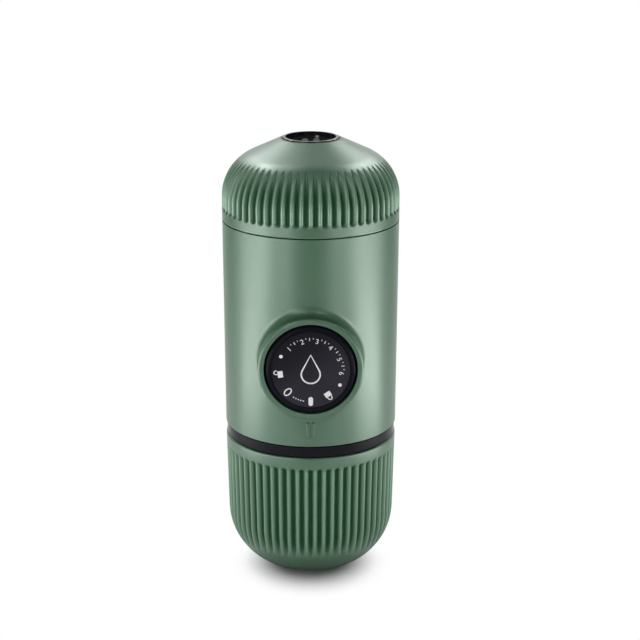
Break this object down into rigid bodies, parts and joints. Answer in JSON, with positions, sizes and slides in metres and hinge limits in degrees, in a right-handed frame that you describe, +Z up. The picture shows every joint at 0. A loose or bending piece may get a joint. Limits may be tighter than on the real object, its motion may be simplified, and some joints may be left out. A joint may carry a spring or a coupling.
{
  "type": "handheld manual espresso maker",
  "caption": "Slim round travel espresso maker with a push pump knob, fluted coffee head on top and a fluted drinking cup over the water tank",
  "frame": {"origin": "centre of the drinking cup's foot, on the body axis", "axes": "+Z up the body axis from the cup to the coffee outlet, -Y towards the pump knob"},
  "size_m": [0.062, 0.067, 0.1564],
  "materials": {
    "shell_green": "satin pearlescent green moulded plastic",
    "band_black": "satin black moulded plastic",
    "gloss_black": "glossy black moulded plastic",
    "dial_print": "black disc with light grey printed marks",
    "chassis_grey": "dark grey glass-filled plastic, fine texture",
    "tank_smoke": "smoked translucent plastic",
    "steel": "brushed and pressed stainless steel",
    "spring_steel": "drawn spring wire",
    "silicone": "translucent grey silicone",
    "seal_black": "black sealing rubber",
    "scoop_black": "matt black moulded plastic"
  },
  "bodies": {
    "main_body": {"body_shell": "shell_green", "knob_guide_ring": "band_black", "neck_ring": "chassis_grey", "neck_seal": "seal_black", "shower_plate": "steel", "shower_screw": "steel", "basket_gasket": "silicone", "tank_socket": "chassis_grey", "air_valve": "silicone", "chassis_screws": "steel", "pump_block": "chassis_grey", "cylinder_liner": "steel", "inlet_valve": "silicone", "inlet_grommet": "silicone", "outlet_valve_seat": "silicone", "outlet_valve_spring": "spring_steel", "delivery_tube": "silicone"},
    "valve_ball": {"outlet_ball": "steel"},
    "pump_piston": {"piston_rod": "steel", "piston_seal": "seal_black", "spring_carrier": "chassis_grey", "return_spring": "spring_steel", "knob_screw": "steel"},
    "pump_knob": {"knob": "band_black", "knob_dial": "dial_print"},
    "coffee_scoop": {"scoop": "scoop_black"},
    "coffee_basket": {"filter_basket": "steel"},
    "brew_seal": {"portafilter_seal": "silicone"},
    "brew_head": {"portafilter": "shell_green", "portafilter_liner": "band_black", "outlet_screen": "steel", "outlet_head": "gloss_black", "outlet_seal": "silicone"},
    "tank_seal": {"tank_gasket": "silicone"},
    "tank": {"water_tank": "tank_smoke", "tank_collar": "band_black", "cup_o_ring": "seal_black"},
    "cup": {"drinking_cup": "shell_green"}
  },
  "joints": [
    {"name": "piston_stroke", "type": "slide", "parent": "main_body", "child": "pump_piston", "axis": [0, -1, 0], "range_m": [0, 0.018], "deforming": ["return_spring"]},
    {"name": "knob_turn", "type": "hinge", "parent": "pump_piston", "child": "pump_knob", "pos_m": [0, -0.03, 0.0833], "axis": [0, -1, 0], "range_deg": [0, 45]},
    {"name": "outlet_ball_lift", "type": "slide", "parent": "main_body", "child": "valve_ball", "axis": [0, 0, 1], "range_m": [0, 0.0012], "deforming": ["outlet_valve_spring"]},
    {"name": "scoop_lift", "type": "slide", "parent": "main_body", "child": "coffee_scoop", "axis": [0, 0, 1], "range_m": [0, 0.025]},
    {"name": "basket_lift", "type": "slide", "parent": "coffee_scoop", "child": "coffee_basket", "axis": [0, 0, 1], "range_m": [0, 0.025]},
    {"name": "portafilter_lift", "type": "slide", "parent": "coffee_basket", "child": "brew_seal", "axis": [0, 0, 1], "range_m": [0, 0.04]},
    {"name": "portafilter_turn", "type": "hinge", "parent": "brew_seal", "child": "brew_head", "pos_m": [0, 0, 0.13], "axis": [0, 0, 1], "range_deg": [0, 150]},
    {"name": "tank_drop", "type": "slide", "parent": "main_body", "child": "tank_seal", "axis": [0, 0, -1], "range_m": [0, 0.04]},
    {"name": "tank_turn", "type": "hinge", "parent": "tank_seal", "child": "tank", "pos_m": [0, 0, 0.05], "axis": [0, 0, -1], "range_deg": [0, 150]},
    {"name": "cup_pull", "type": "slide", "parent": "tank", "child": "cup", "axis": [0, 0, -1], "range_m": [0, 0.06]}
  ]
}
